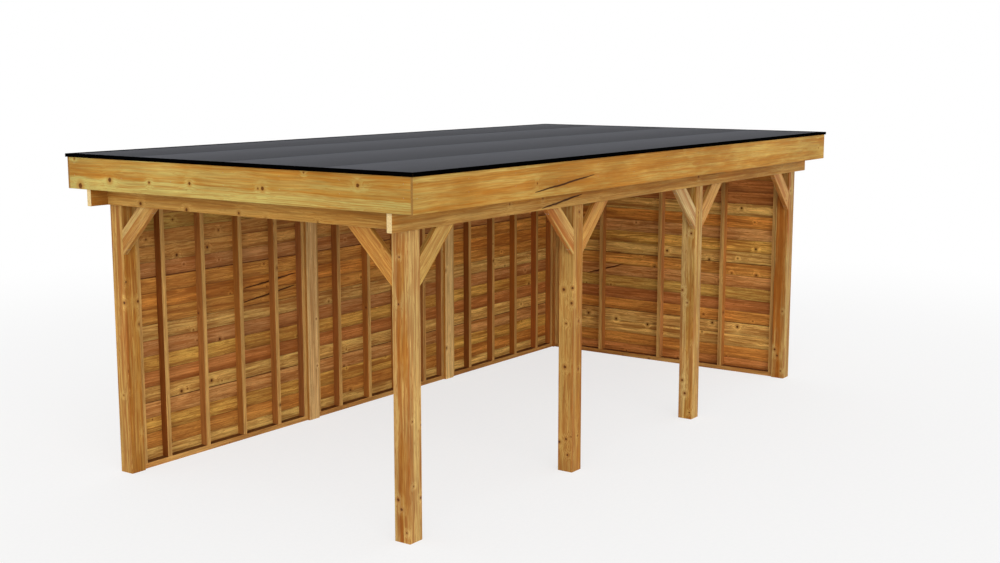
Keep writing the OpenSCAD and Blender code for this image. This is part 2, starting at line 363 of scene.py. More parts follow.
    # a warm ring round each knot, the knot itself, then the sawn ends and the cracks
    halo = times(tree, ease(tree, swirl, 0.45, 0.95), 0.55)
    haloed = blend(tree, halo, shaded, lateTone)
    knotted = blend(tree, times(tree, knotMask, 0.94), haloed, given["knotTone"])
    endTone = scaleVector(tree, given["endTone"], fineShade)
    ended = blend(tree, times(tree, onEnd, given["endShare"]), knotted, endTone)
    lift = timesPlus(tree, fine, 0.7, timesPlus(tree, fibre, 0.5, times(tree, late, 0.35)))
    fillSockets(tree, output, {
        "tone": blend(tree, times(tree, given["shake"], 0.93), ended, grainShape["crackTone"]),
        "rough": timesPlus(tree, late, -0.06, timesPlus(tree, fine, 0.25, 0.45)),
        "height": timesPlus(tree, given["shake"], -3.5, lift),
    })
    return tree


pinnedKnot = buildPinnedKnot()
dryingShake = buildShake()
timberGrain = buildTimberGrain()
print("wood built")

grainTurns = {  # turns that bring the grain to X
    "x": (0, 0, 0),
    "y": (0, 0, -90),
    "z": (0, 90, 0),
    "risingX": (0, 45, 0),
    "fallingX": (0, 135, 0),
    "risingY": (-45, 0, -90),
    "fallingY": (-135, 0, -90),
}


def pinFeatures(tree, point, pinned, shakes):
    mask, swirl, crack = 0.0, 0.0, 0.0
    for place in pinned:
        sockets = {"point": point, "centre": place[:3], "radius": place[3]}
        sockets.update(maskBefore=mask, swirlBefore=swirl)
        mask, swirl = addNode(tree, "ShaderNodeGroup", sockets, node_tree=pinnedKnot).outputs
    for start, end, width in shakes:
        along = Vector(end) - Vector(start)
        sockets = {"point": point, "from": start, "along": along, "width": width, "maskBefore": crack}
        crack = nodeOut(tree, "ShaderNodeGroup", sockets, node_tree=dryingShake)
    return {"pinnedMask": mask, "pinnedSwirl": swirl, "shake": crack}


def turnedCoords(tree, grain, pith=(0, 0, 0)):
    turn = Euler([math.radians(a) for a in grainTurns[grain]])
    moved = turn.to_matrix() @ Vector(pith)
    coords = addNode(tree, "ShaderNodeTexCoord").outputs
    sockets = {"Vector": coords["Object"], "Location": -moved, "Rotation": turn}
    point = nodeOut(tree, "ShaderNodeMapping", sockets)
    sockets = {"Vector": coords["Normal"], "Rotation": turn}
    facing = nodeOut(tree, "ShaderNodeMapping", sockets, vector_type="VECTOR")
    return coords, point, facing


def finishWood(tree, shader, wanted, look, darker=None):
    tone, rough, height = addNode(tree, "ShaderNodeGroup", wanted, node_tree=timberGrain).outputs
    if darker:
        tone = blend(tree, darker[0], tone, darker[1])
    setFinish(tree, shader, tone, rough, height, look["bump"], grainShape["depth"], look["gloss"])


def timber(name, look, grain, pith, number, pinned=(), shakes=(), change=None, shadeAndHeartSide=None):
    material, tree, shader = newMaterial(name)
    firstSeed, seedStep = look["seeds"]
    coords, point, facing = turnedCoords(tree, grain, pith)
    wanted = {
        "point": point, "facing": facing, "seed": firstSeed + seedStep * number, **look["grain"],
        **(change or {}), **pinFeatures(tree, coords["Object"], pinned, shakes),
    }
    darker = None
    if shadeAndHeartSide:  # one side is darker, its direction, tone and share: painted shade on the tops of sills and rails, a darker heartwood tone on two back posts' -X sides
        direction, tone, share = shadeAndHeartSide
        toSide = vectorCalc(tree, "DOT_PRODUCT", coords["Normal"], direction, out="Value")
        darker = (ease(tree, toSide, 0.5, 0.9, 0.0, share), tone)
    finishWood(tree, shader, wanted, look, darker)
    return material


# timber in many like pieces side by side, each with its own figure and shade
def manyTimbers(name, look, grain, pith, axis, grid, sides=None):
    material, tree, shader = newMaterial(name)
    step, start = grid
    coords, point, facing = turnedCoords(tree, grain, pith)
    along = splitParts(tree, coords["Object"])[axis]
    number = calc(tree, "FLOOR", over(tree, minus(tree, along, start), step))
    rolls = rollDice(tree, joinParts(tree, number, axis))
    sapTone = look["grain"]["sapTone"]
    heartTone = blend(tree, rolls[0], look["grain"]["heartTone"], look["grain"]["sapTone"])
    if sides:  # painted shade: the sides are darker than the narrow front, as in the shade beside each stud, each stud in its own tone as well
        marks, tones = sides
        first, last = marks[0][0], marks[-1][1]
        starts = [max(0.0, (low - 0.02 - first) / (last - first)) for low, high in marks]
        # faces that turn sideways take the painted side shade
        sideways = calc(tree, "ABSOLUTE", splitParts(tree, coords["Normal"])[axis])
        onSide = calc(tree, "GREATER_THAN", sideways, 0.7)
        share = over(tree, minus(tree, along, first), last - first)
        sideToneAndShade = stepRamp(tree, share, list(zip(starts, tones)))
        sapTone = blend(tree, onSide, sapTone, sideToneAndShade)
        heartTone = blend(tree, onSide, heartTone, sideToneAndShade)
    wanted = {
        "point": point, "facing": facing, "seed": times(tree, rolls[2], 17.0),
        **look["grain"], "sapTone": sapTone, "heartTone": heartTone,
    }
    finishWood(tree, shader, wanted, look)
    return material


# posts, each sawn from its own part of a tree, so that the heart shows on other faces

postLook = {
    "grain": {
        "lateTone": "904c0e", "knotTone": "5a2c0a", "endTone": "c9a266",
        "endShare": 0.5, "run": 1.4, "ringGap": 0.0075, "ringDepth": 0.7, "zoneDepth": 0.2,
        "streak": 0.9, "figure": 0.75, "knots": 0.22,
    },
    "calmGrain": {"streak": 0.5, "figure": 0.45},
    "seeds": (0, 3.1),  # of the first piece, and the step to the next
    "gloss": 0.15,
    "bump": 0.35,
}
postHearts = {  # pith from the post's middle, reach of the heartwood, tones of heart and sap
    "front_post_1": ((-0.088, -0.026), 0.05, "ac762c", "d0ae68"),
    "front_post_2": ((0.01, -0.045), 0.06, "b07c30", "c09a52"),
    "front_post_3": ((-0.035, -0.045), 0.068, "c2984a", "d2b470"),
    "front_post_4": ((-0.065, 0), 0.066, "b37028", "c8aa64"),
    "back_post_1": ((0, -0.055), 0.058, "b07c30", "c79f54"),
    "back_post_2": ((-0.3, 0), 0.23, "bd8648", "eac684"),
    "back_post_3": ((-0.3, 0), 0.23, "b1752a", "fcd88e"),
    "back_post_4": ((0, 0), 0.085, "a06428", "b98444"),
}
calmPosts = {  # posts of quieter grain, with the direction, tone and share of their darker side
    "back_post_2": ((-1, 0, 0), "a26b28", 0.85),
    "back_post_3": ((-1, 0, 0), "b0701e", 0.85),
}
lowKnots = ((0.035, 0.31, 0.012), (0.005, 0.245, 0.011), (-0.04, 0.08, 0.007))  # across, height, radius
postKnots = {
    "front_post_1": lowKnots + ((0.002, 2.05, 0.007), (0.012, 1.72, 0.008)),
    "front_post_2": ((-0.025, 0.145, 0.01), (-0.01, 0.28, 0.01), (0.055, 0.245, 0.011),
                     (0.022, 1.538, 0.013), (-0.062, 1.558, 0.01), (-0.054, 1.432, 0.011),
                     (0.006, 0.892, 0.013), (-0.003, 1.257, 0.008)),
    "front_post_3": ((0.034, 0.373, 0.011), (0.004, 0.248, 0.012), (-0.05, 0.065, 0.007),
                     (-0.029, 1.793, 0.01), (0.052, 1.246, 0.01), (-0.002, 1.129, 0.007)),
    "front_post_4": lowKnots,
    "back_post_1": ((-0.056, 1.441, 0.012),),
}
frontKnots = {
    "front_post_1": ((0.053, 0.314, 0.009), (-0.033, 0.888, 0.006), (-0.024, 0.416, 0.006),
                     (0.066, 0.845, 0.006)),
    "back_post_1": ((0.059, 1.437, 0.012),),
}
for number, (name, (pith, reach, heartTone, sapTone)) in enumerate(postHearts.items()):
    low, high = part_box(name)
    middle = (low + high) / 2
    pinned = [(low.x, middle.y + across, *rest) for across, *rest in postKnots.get(name, ())]
    pinned += [(middle.x + across, low.y, *rest) for across, *rest in frontKnots.get(name, ())]
    change = {"heartReach": reach, "heartTone": heartTone, "sapTone": sapTone}
    if name in calmPosts:
        change.update(postLook["calmGrain"])
    place = (middle.x + pith[0], middle.y + pith[1], 0)
    label = "postWood" + name[0].upper() + name[-1]
    dress(name, timber(label, postLook, "z", place, number, pinned, (), change, calmPosts.get(name)))
print("posts dressed")

# beams

beamLook = {
    "grain": {
        "sapTone": "c59a52", "lateTone": "955a1c",
        "knotTone": "5c300c", "endTone": "dcc28c", "endShare": 0.92,
        "run": 1.7, "ringGap": 0.009, "ringDepth": 0.6, "zoneDepth": 0.2, "heartReach": 0.11,
        "streak": 0.8, "figure": 0.6, "knots": 0.25,
    },
    "seeds": (20, 1.7),
    "gloss": 0.06,
    "bump": 0.35,
}
beams = {  # grain, pith from the beam's middle, tone of the heart
    "front_beam": ("x", (0, 0.06, 0.03), "b57a30"), "back_beam": ("x", (0, -0.06, 0.02), "a56c28"),
    "open_end_beam": ("y", (0.05, 0, -0.03), "c9984a"), "closed_end_beam": ("y", (-0.05, 0, 0.02), "ac7232"),
}
beamShakes = {"front_beam": (((-1.65, -1.58, 2.255), (-1.06, -1.58, 2.325), 0.012),)}
beamKnots = {"open_end_beam": ((1.14, 2.272, 0.013), (0.61, 2.255, 0.013), (0.04, 2.263, 0.01))}
for number, (name, (grain, offset, heartTone)) in enumerate(beams.items()):
    low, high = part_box(name)
    pith = (low + high) / 2 + Vector(offset)
    pinned = [(low.x, y, z, radius) for y, z, radius in beamKnots.get(name, ())]
    shakes = beamShakes.get(name, ())
    change = {"heartTone": heartTone}
    dress(name, timber("beamWood%d" % (number + 1), beamLook, grain, pith, number, pinned, shakes, change))

# corner braces

braceLook = {
    "grain": {
        "lateTone": "9a5214", "knotTone": "5a3014", "endTone": "b98a50",
        "endShare": 0.3, "run": 1.2, "ringGap": 0.008, "ringDepth": 0.5, "zoneDepth": 0.18,
        "heartReach": 0.06, "streak": 0.7, "figure": 0.65, "knots": 0.12,
    },
    "seeds": (40, 2.3),
    "pith": (0.02, 0.03, 0.02),  # from the brace's middle
    "gloss": 0.15,
    "bump": 0.35,
}
braces = {  # grain, then the tones of heart and sap
    "front_brace_1": ("risingX", "b68a3a", "c8a456"), "front_brace_2": ("fallingX", "b87630", "cda75e"),
    "front_brace_3": ("risingX", "b47c34", "c39448"), "front_brace_4": ("fallingX", "bf9a5a", "d0b97e"),
    "front_brace_5": ("risingX", "b3742a", "c99e56"), "front_brace_6": ("fallingX", "a56a2c", "c69a58"),
    "open_end_brace_front": ("risingY", "b97c2e", "c59244"),
    "open_end_brace_back": ("fallingY", "b68c46", "cbab66"),
}
for number, (name, (grain, heartTone, sapTone)) in enumerate(braces.items()):
    low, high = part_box(name)
    pith = (low + high) / 2 + Vector(braceLook["pith"])
    change = {"heartTone": heartTone, "sapTone": sapTone}
    dress(name, timber("braceWood%d" % (number + 1), braceLook, grain, pith, number, change=change))
print("beams and braces dressed")

# studs, sills and rails of the walls

frameLook = {
    "grain": {
        "sapTone": "d3a65f", "heartTone": "bf8a48", "lateTone": "8a5222",
        "knotTone": "55301a", "endTone": "b98a50", "endShare": 0.4,
        "run": 1.2, "ringGap": 0.01, "ringDepth": 0.45, "zoneDepth": 0.2, "heartReach": 0.5,
        "streak": 0.7, "figure": 0.4, "knots": 0.15,
    },
    "seeds": (80, 1.9),
    "railPith": (0.05, 0.05, 0.06),
    "studPith": (0.7, 0.9, 0),
    "studGrid": (0.221, -3.3),  # step and start of a grid that tells one stud from the next
    "paintedTopShade": ((0, 0, 1), "5c3010", 0.88),  # painted shade on the tops of sills and rails: direction, tone and share
    "gloss": 0.12,
    "bump": 0.4,
}
studSides = {  # tone of each stud's sides, from the first post on: painted shade, mixed with each stud's own tone
    "back_studs_1": ("ad7038", "713a10", "a86e36", "a76c2e", "aa6e34", "9a6236"),
    "back_studs_2": ("d8a86e", "a0622e", "b27030", "a66a30", "a06a38", "b0703c"),
    "back_studs_3": ("dcaa66", "844b1d", "9a5a26", "a66020", "a85c24", "b86c2e"),
    "end_studs": ("b27640", "c48442", "c88a4e", "ac7036", "ae7034"),
}
for number, (name, tones) in enumerate(studSides.items()):
    axis = 1 if name == "end_studs" else 0
    pith, grid, sides = frameLook["studPith"], frameLook["studGrid"], (spans(name, axis), tones)
    dress(name, manyTimbers("studWood%d" % (number + 1), frameLook, "z", pith, axis, grid, sides))
for number, name in enumerate(("back_sill_1", "back_sill_2", "back_sill_3", "end_sill",
                               "back_rail_1", "back_rail_2", "back_rail_3", "end_rail")):
    low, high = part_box(name)
    grain = "y" if name.startswith("end") else "x"
    pith = (low + high) / 2 + Vector(frameLook["railPith"])
    label = "railWood%d" % (number + 1)
    # painted shade darkens the tops of the sills and rails
    dress(name, timber(label, frameLook, grain, pith, number, shadeAndHeartSide=frameLook["paintedTopShade"]))
print("wall frames dressed")

# fascia boards; the long ones cover the ends of the short ones

fasciaLook = {
    "grain": {
        "lateTone": "a56214", "knotTone": "5e3008", "endTone": "8a6434",
        "endShare": 0.75, "run": 2.2, "ringGap": 0.011, "ringDepth": 0.6, "zoneDepth": 0.14,
        "streak": 0.7, "figure": 0.55, "knots": 0.1,
    },
    "seeds": (100, 3.3),
    "gloss": 0.06,
    "bump": 0.3,
}
fascias = {  # grain, pith from the board's middle, reach of the heartwood, tones of heart and sap
    "front_fascia": ("x", (0, 0.12, -0.02), 0.18, "ad7f36", "c8ab5c"),
    "back_fascia": ("x", (0, -0.12, 0.0), 0.18, "ad7f36", "c8ab5c"),
    "open_end_fascia": ("y", (0.11, 0, 0.035), 0.145, "b3873a", "bfae62"),
    "closed_end_fascia": ("y", (-0.12, 0, 0.02), 0.17, "b08338", "c6aa5a"),
}
fasciaKnots = {
    "open_end_fascia": ((1.633, 2.402, 0.022), (1.27, 2.466, 0.018), (0.81, 2.467, 0.01),
                        (0.36, 2.483, 0.013), (-0.4, 2.483, 0.015), (-1.3, 2.55, 0.014)),
}
fasciaShakes = {"front_fascia": (((-2.05, -1.78, 2.42), (-1.2, -1.78, 2.5), 0.011),)}
for number, (name, (grain, offset, reach, heartTone, sapTone)) in enumerate(fascias.items()):
    low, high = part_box(name)
    pith = (low + high) / 2 + Vector(offset)
    pinned = [(low.x, y, z, radius) for y, z, radius in fasciaKnots.get(name, ())]
    shakes = fasciaShakes.get(name, ())
    change = {"heartReach": reach, "heartTone": heartTone, "sapTone": sapTone}
    label = "fasciaWood%d" % (number + 1)
    dress(name, timber(label, fasciaLook, grain, pith, number, pinned, shakes, change))
print("fascia dressed")

# joists and roof boards

joistLook = {
    "grain": dict(frameLook["grain"], sapTone="c79c60", heartTone="ad7a44"),
    "gloss": 0.2,
    "bump": 0.4,
}
joistGrid = (0.29, -3.6)
deckGrid = (0.121, -30 * 0.121)  # one board to each step
dress("roof_joists", manyTimbers("joistWood", joistLook, "y", (0.4, 0, 3.4), 0, joistGrid))
dress("roof_deck", manyTimbers("roofBoardWood", joistLook, "x", (0, 0.4, 3.4), 1, deckGrid))
print("joists and roof boards dressed")

# lapped wall boards, with a tongue behind each joint

boardLook = {
    "cover": 0.1325,  # height of wall that a board covers
    "tip": 0.011,  # thickness at its upper edge
    "gap": 0.0012,
    "corner": 0.002,
    "tongue": (0.004, 0.005, 0.008),  # depth from the room side, thickness, reach over and under the joint
    # painted light on the room side of each bay, strongest where the roof's shade is deepest, and the
    # outside's own tone
    "paintedRoomLight": {"back_boards_1": 1.14, "back_boards_2": 1.17, "back_boards_3": 1.38, "end_boards": 1.40},
    "outside": 0.88,
    "sapWash": (0.2, "d09c52"),  # share and tone laid over the row's own
    "heartWash": (0.45, "b57234"),
    "foot": (0.35, 0.3),  # shadows up a board: where they end or start, and their share
    "crown": (0.975, 0.6),
    "edge": (0.03, 0.6),
    "openJoint": (0.09, 0.95),
    "shadowTone": "4a260f",
    "grain": {
        "lateTone": "8a4a18", "knotTone": "542b0e", "endTone": "a87a48",
        "endShare": 0.4, "run": 1.0, "ringGap": 0.012, "ringDepth": 0.55, "zoneDepth": 0.25,
        "heartReach": 0.14, "streak": 0.8, "figure": 0.7, "knots": 0.25,
    },
    "gloss": 0.1,
    "bump": 0.5,
}
boardTones = {
    "straw": "e5c36c", "pale": "dab868", "golden": "dab152", "tan": "d3a458", "pinkTan": "d3a060",
    "orangeTan": "d99f4a", "orange": "d8913c", "brown": "cd8f40", "olive": "c5ad56", "purple": "b88654",
    "redBrown": "bb7842", "darkRed": "ad6d40",
}
backRows = ("straw", "brown", "golden", "pinkTan", "straw", "redBrown", "golden", "purple", "pale",
            "orangeTan", "orange", "orangeTan", "purple", "tan", "tan", "olive", "tan")
endRows = ("redBrown", "brown", "straw", "pale", "brown", "darkRed", "olive", "pinkTan", "orangeTan",
           "straw", "golden", "pinkTan", "orange", "straw", "redBrown", "redBrown", "brown")
backBoardKnots = (  # along the wall, height, radius
    (-2.632, 0.567, 0.014), (-2.282, 0.595, 0.013), (-2.17, 0.952, 0.013), (-2.632, 1.757, 0.013),
    (-2.282, 1.785, 0.012),
)
endBoardKnots = (
    (0.98, 0.448, 0.014), (0.602, 0.42, 0.013), (0.182, 0.392, 0.012), (-0.644, 0.504, 0.013),
    (-0.952, 0.49, 0.013), (-0.056, 1.274, 0.013), (-0.588, 1.218, 0.012), (-1.148, 1.372, 0.012),
    (-0.966, 1.813, 0.012),
)


def boardWood(name, grain, box, rows, openJoints, pinned, shakes, lift, look=boardLook):
    material, tree, shader = newMaterial(name)
    coords, turned, facing = turnedCoords(tree, grain)
    inner = box[0].y if grain == "x" else -box[0].x  # the room side
    parts = splitParts(tree, turned)
    height = over(tree, minus(tree, parts[2], box[0].z), look["cover"])
    row = calc(tree, "FLOOR", height)
    share = calc(tree, "FRACT", height)
    rolls = rollDice(tree, joinParts(tree, row, 0.5))
    # each row is cut from another part of another tree
    along = timesPlus(tree, rolls[0], 30.0, parts[0])
    deep = plus(tree, minus(tree, parts[1], inner), timesPlus(tree, rolls[1], 0.09, 0.03))
    up = timesPlus(tree, minus(tree, share, 0.5), look["cover"], timesPlus(tree, rolls[2], 0.1, -0.05))
    # painted light: the room side is brightened by lift, the outside faces take the outside tone
    outside = calc(tree, "GREATER_THAN", splitParts(tree, coords["Normal"])[1 if grain == "x" else 0], 0.5)
    shade = timesPlus(tree, outside, look["outside"] - lift, lift)
    rowTone = stepRamp(tree, over(tree, plus(tree, row, 0.5), len(rows)),
                       [(k / len(rows), boardTones[tone]) for k, tone in enumerate(rows)])

    def washed(key):
        washShare, washTone = look[key]
        return scaleVector(tree, blend(tree, washShare, rowTone, washTone), shade)

    wanted = {
        "point": joinParts(tree, along, deep, up), "facing": facing, "seed": times(tree, rolls[1], 9.0),
        **look["grain"], "sapTone": washed("sapWash"), "heartTone": washed("heartWash"),
        **pinFeatures(tree, coords["Object"], pinned, shakes),
    }
    foot = ease(tree, share, 0.0, *look["foot"], 0.0)
    crown = ease(tree, share, look["crown"][0], 1.0, 0.0, look["crown"][1])
    edge = ease(tree, share, 0.0, *look["edge"], 0.0)
    shadow = larger(tree, foot, larger(tree, crown, edge))
    for openRow in openJoints:  # joints that have opened a little more
        chosen = calc(tree, "COMPARE", row, openRow, 0.5)
        opened = ease(tree, share, look["edge"][0], *look["openJoint"], 0.0)
        shadow = larger(tree, shadow, times(tree, chosen, opened))
    finishWood(tree, shader, wanted, look, (shadow, look["shadowTone"]))
    return material


def growPiece(name, tree, mesh, values):
    source = bpy.data.objects.new(name + "Source", mesh)
    scene.collection.objects.link(source)
    modifier = source.modifiers.new("grow", "NODES")
    modifier.node_group = tree
    for item in tree.interface.items_tree:
        if item.item_type == "SOCKET" and item.in_out == "INPUT" and item.name in values:
            modifier[item.identifier] = values[item.name]
    graph = bpy.context.evaluated_depsgraph_get()
    plain = bpy.data.meshes.new_from_object(source.evaluated_get(graph))
    plain.name = name
    while len(plain.materials) > 1 and plain.materials[0] is None:  # the tree leaves an empty place first
        plain.materials.pop(index=0)
    source.modifiers.clear()
    bpy.data.objects.remove(source)
    piece = bpy.data.objects.new(name, plain)
    scene.collection.objects.link(piece)
    return piece


def buildLappedBoards():
    tree, given, output = newGroup(
        "lappedBoards",
        {
            "Geometry": ["Geometry"],
            "Float": ["length", "cover", "butt", "tip", "gap", "corner",
                      "tongueDepth", "tongueThick", "tongueReach", "rise"],
            "Int": ["rows"], "Vector": ["place", "turn"], "Material": ["finish"],
        },
        {"Geometry": ["Geometry"]}, "Geometry",
    )
    far = joinParts(tree, 0.0, 0.0, given["length"])
    path = nodeOut(tree, "GeometryNodeCurvePrimitiveLine", {"End": far})

    def sweep(points, corner):
        outline = tree.nodes.new("GeometryNodeCurvePrimitiveQuadrilateral")
        outline.mode = "POINTS"
        fillSockets(tree, outline, {"Point %d" % (k + 1): point for k, point in enumerate(points)})
        sockets = {"Curve": outline.outputs[0], "Radius": corner, "Limit Radius": True}
        rounded = nodeOut(tree, "GeometryNodeFilletCurve", sockets)
        sockets = {"Curve": path, "Profile Curve": rounded, "Fill Caps": True}
        return nodeOut(tree, "GeometryNodeCurveToMesh", sockets)

    def repeat(shape, count, first):
        start, step = joinParts(tree, 0.0, first, 0.0), joinParts(tree, 0.0, given["cover"], 0.0)
        sockets = {"Count": count, "Start Location": start, "Offset": step}
        points = nodeOut(tree, "GeometryNodeMeshLine", sockets)
        return nodeOut(tree, "GeometryNodeInstanceOnPoints", {"Points": points, "Instance": shape})

    top = minus(tree, given["cover"], given["gap"])
    back = plus(tree, given["tongueDepth"], given["tongueThick"])
    down = times(tree, given["tongueReach"], -1.0)
    boardCorners = ((0.0, 0.0), (given["butt"], 0.0), (given["tip"], top), (0.0, top))
    tongueCorners = ((given["tongueDepth"], down), (back, down),
                     (back, given["tongueReach"]), (given["tongueDepth"], given["tongueReach"]))
    board = sweep([joinParts(tree, x, y) for x, y in boardCorners], given["corner"])
    tongue = sweep([joinParts(tree, x, y) for x, y in tongueCorners], 0.0005)
    both = tree.nodes.new("GeometryNodeJoinGeometry")
    tree.links.new(repeat(board, given["rows"], 0.0), both.inputs[0])
    tree.links.new(repeat(tongue, minus(tree, given["rows"], 1), given["cover"]), both.inputs[0])
    solid = nodeOut(tree, "GeometryNodeRealizeInstances", {"Geometry": both.outputs[0]})
    spot = splitParts(tree, tree.nodes.new("GeometryNodeInputPosition").outputs[0])
    cut = joinParts(tree, spot[0], calc(tree, "MINIMUM", spot[1], given["rise"]), spot[2])
    trimmed = nodeOut(tree, "GeometryNodeSetPosition", {"Geometry": solid, "Position": cut})
    turn = nodeOut(tree, "FunctionNodeEulerToRotation", {0: given["turn"]})
    sockets = {"Geometry": trimmed, "Translation": given["place"], "Rotation": turn}
    placed = nodeOut(tree, "GeometryNodeTransform", sockets)
    flat = nodeOut(tree, "GeometryNodeSetShadeSmooth", {"Geometry": placed, "Shade Smooth": False})
    finished = nodeOut(tree, "GeometryNodeSetMaterial", {"Geometry": flat, "Material": given["finish"]})
    fillSockets(tree, output, {"Geometry": finished})
    return tree


def outward(mesh):
    shape = bmesh.new()
    shape.from_mesh(mesh)
    bmesh.ops.remove_doubles(shape, verts=shape.verts, dist=0.00002)
    bmesh.ops.recalc_face_normals(shape, faces=shape.faces)
    shape.to_mesh(mesh)
    volume = shape.calc_volume(signed=True)
    shape.free()
    return volume


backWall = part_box("back_boards_1")
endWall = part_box("end_boards")
backShakes = (
    ((-1.867, 1.505, 1.363), (-1.197, 1.505, 1.426), 0.013),
    ((-1.873, 1.505, 1.236), (-1.201, 1.505, 1.313), 0.013),
)
endShakes = (((3.23, 1.004, 0.929), (3.23, 0.509, 1.072), 0.013),)
backPinned = [(x, backWall[0].y, z, radius) for x, z, radius in backBoardKnots]
endPinned = [(endWall[0].x, y, z, radius) for y, z, radius in endBoardKnots]
backOpen, endOpen = (4, 12), (4, 9)  # rows whose lower joint has opened
lappedBoards = buildLappedBoards()
depth, thick, reach = boardLook["tongue"]
# each bay gets its own copy of the board wood, brightened by its own painted light
for name, lift in boardLook["paintedRoomLight"].items():
    low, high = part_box(name)
    atEnd = name == "end_boards"
    axis = int(atEnd)
    if atEnd:
        wood = boardWood("endBoardWood", "y", endWall, endRows, endOpen, endPinned, endShakes, lift)
    else:
        label = "backBoardWood" + name[-1]
        wood = boardWood(label, "x", backWall, backRows, backOpen, backPinned, backShakes, lift)
    piece = growPiece("lapped" + name.title().replace("_", ""), lappedBoards, bpy.data.meshes.new("seed"), {
        "length": high[axis] - low[axis], "butt": high[1 - axis] - low[1 - axis],
        "cover": boardLook["cover"], "tip": boardLook["tip"], "gap": boardLook["gap"],
        "corner": boardLook["corner"], "tongueDepth": depth, "tongueThick": thick, "tongueReach": reach,
        "rows": math.ceil((high.z - low.z) / boardLook["cover"]), "rise": high.z - low.z,
        "place": (low.x, high.y if atEnd else low.y, low.z),
        "turn": (math.pi / 2, 0.0, 0.0 if atEnd else math.pi / 2),
        "finish": wood,
    })
    volume = outward(piece.data)
    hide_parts(name)
    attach(piece, "root")
    print("boards:", name, len(piece.data.polygons), "faces,", round(volume, 4), "m3")

# nails and screws

fixings = {
    "boardNail": 0.0068,  # diameters of the heads
    "fasciaNail": 0.0055,
    "braceScrew": 0.01,
    "beamScrew": 0.013,
}
fixingPlaces = {
    "boardShares": (0.22, 0.72),  # up each board
    "fasciaDrops": (0.05, 0.145),  # below the joists' top
    "endPairs": 7,  # along each end fascia
    "endMargin": 0.06,
    "braceEnds": (0.11, 0.89),
    "braceSides": (0.25, 0.75),
    "beamDrops": (0.05, 0.145),  # below the post's top
    "beamSides": (-0.035, 0.035),
    "lapLean": 0.009,  # how far a board leans back over its height
    "topClear": 0.01,  # no nail is this near the wall's top
}
headRings = ((0.36, -0.22), (0.5, -0.02), (0.46, 0.05), (0.22, 0.07), (0.16, -0.1))  # radius and height


def headMesh(sides=8):  # one head of unit diameter, dished and with a recess, closed below
    shape = bmesh.new()
    rings = []
    for radius, height in headRings:
        turns = [math.tau * k / sides for k in range(sides)]
        rings.append([shape.verts.new((radius * math.cos(a), radius * math.sin(a), height)) for a in turns])
    for lower, upper in zip(rings, rings[1:]):
        for k in range(sides):
            shape.faces.new((lower[k], lower[(k + 1) % sides], upper[(k + 1) % sides], upper[k]))
    shape.faces.new(list(reversed(rings[0])))
    shape.faces.new(rings[-1])
    bmesh.ops.recalc_face_normals(shape, faces=shape.faces)
    mesh = bpy.data.meshes.new("screwHead")
    shape.to_mesh(mesh)
    shape.free()
    return mesh


def buildFixings():
    inputs = {"Geometry": ["Geometry"], "Object": ["head"], "Float": ["diameter"], "Material": ["finish"]}
    tree, given, output = newGroup("fixings", inputs, {"Geometry": ["Geometry"]}, "Geometry")
    facing = nodeOut(tree, "GeometryNodeInputNamedAttribute", {"Name": "facing"}, data_type="FLOAT_VECTOR")
    turn = nodeOut(tree, "FunctionNodeAlignRotationToVector", {"Vector": facing}, axis="Z")
    head = addNode(tree, "GeometryNodeObjectInfo", {"Object": given["head"]}).outputs["Geometry"]
    size = joinParts(tree, given["diameter"], given["diameter"], given["diameter"])
    sockets = {"Points": given["Geometry"], "Instance": head, "Rotation": turn, "Scale": size}
    spread = nodeOut(tree, "GeometryNodeInstanceOnPoints", sockets)
    solid = nodeOut(tree, "GeometryNodeRealizeInstances", {"Geometry": spread})
    finished = nodeOut(tree, "GeometryNodeSetMaterial", {"Geometry": solid, "Material": given["finish"]})
    fillSockets(tree, output, {"Geometry": finished})
    return tree


zincLook = {
    "tones": ("b4aea4", "857f76"),
    "spangle": 700.0,  # how fine, to a metre
    "metal": 0.6,
    "bump": 0.3,
    "depth": 0.0002,
}


def zincCoat(name, look):
    material, tree, shader = newMaterial(name)
    spangle = noise(tree, scaleVector(tree, objectPoint(tree), look["spangle"]), 2)
    tone = blend(tree, ease(tree, spangle, 0.3, 0.7), *look["tones"])
    rough = timesPlus(tree, spangle, 0.3, 0.35)
    setFinish(tree, shader, tone, rough, spangle, look["bump"], look["depth"], metal=look["metal"])
    return material


nailZinc = zincCoat("nailZinc", zincLook)
places = {kind: [] for kind in fixings}
lapLean = Vector((0, boardLook["cover"], fixingPlaces["lapLean"])).normalized()
for name in studSides:
    low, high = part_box(name.replace("studs", "boards"))
    atEnd = name == "end_studs"
    axis = int(atEnd)
    thick = high[1 - axis] - low[1 - axis]
    rows = math.ceil((high.z - low.z) / boardLook["cover"])
    for start, end in spans(name, axis):
        along = (start + end) / 2
        for row in range(rows):
            for share in fixingPlaces["boardShares"]:
                z = low.z + (row + share) * boardLook["cover"]
                out = thick + (boardLook["tip"] - thick) * share
                if z < high.z - fixingPlaces["topClear"]:
                    spot = Vector((low.x + out, along, z)) if atEnd else Vector((along, low.y + out, z))
                    lean = Vector((lapLean.y, 0, lapLean.z)) if atEnd else lapLean
                    places["boardNail"].append((spot, lean))
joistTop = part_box("roof_joists")[1].z
joistLines = [(start + end) / 2 for start, end in spans("roof_joists", 0)]
margin, pairs = fixingPlaces["endMargin"], fixingPlaces["endPairs"]
for name, axis, side in (("front_fascia", 1, -1), ("back_fascia", 1, 1),
                         ("open_end_fascia", 0, -1), ("closed_end_fascia", 0, 1)):
    low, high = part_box(name)
    reach = high.y - low.y - 2 * margin
    for mark in joistLines if axis else [low.y + margin + k * reach / (pairs - 1) for k in range(pairs)]:
        for drop in fixingPlaces["fasciaDrops"]:
            spot, lean = Vector((mark, mark, joistTop - drop)), Vector((0, 0, 0))
            spot[axis], lean[axis] = (low if side < 0 else high)[axis], side
            places["fasciaNail"].append((spot, lean))
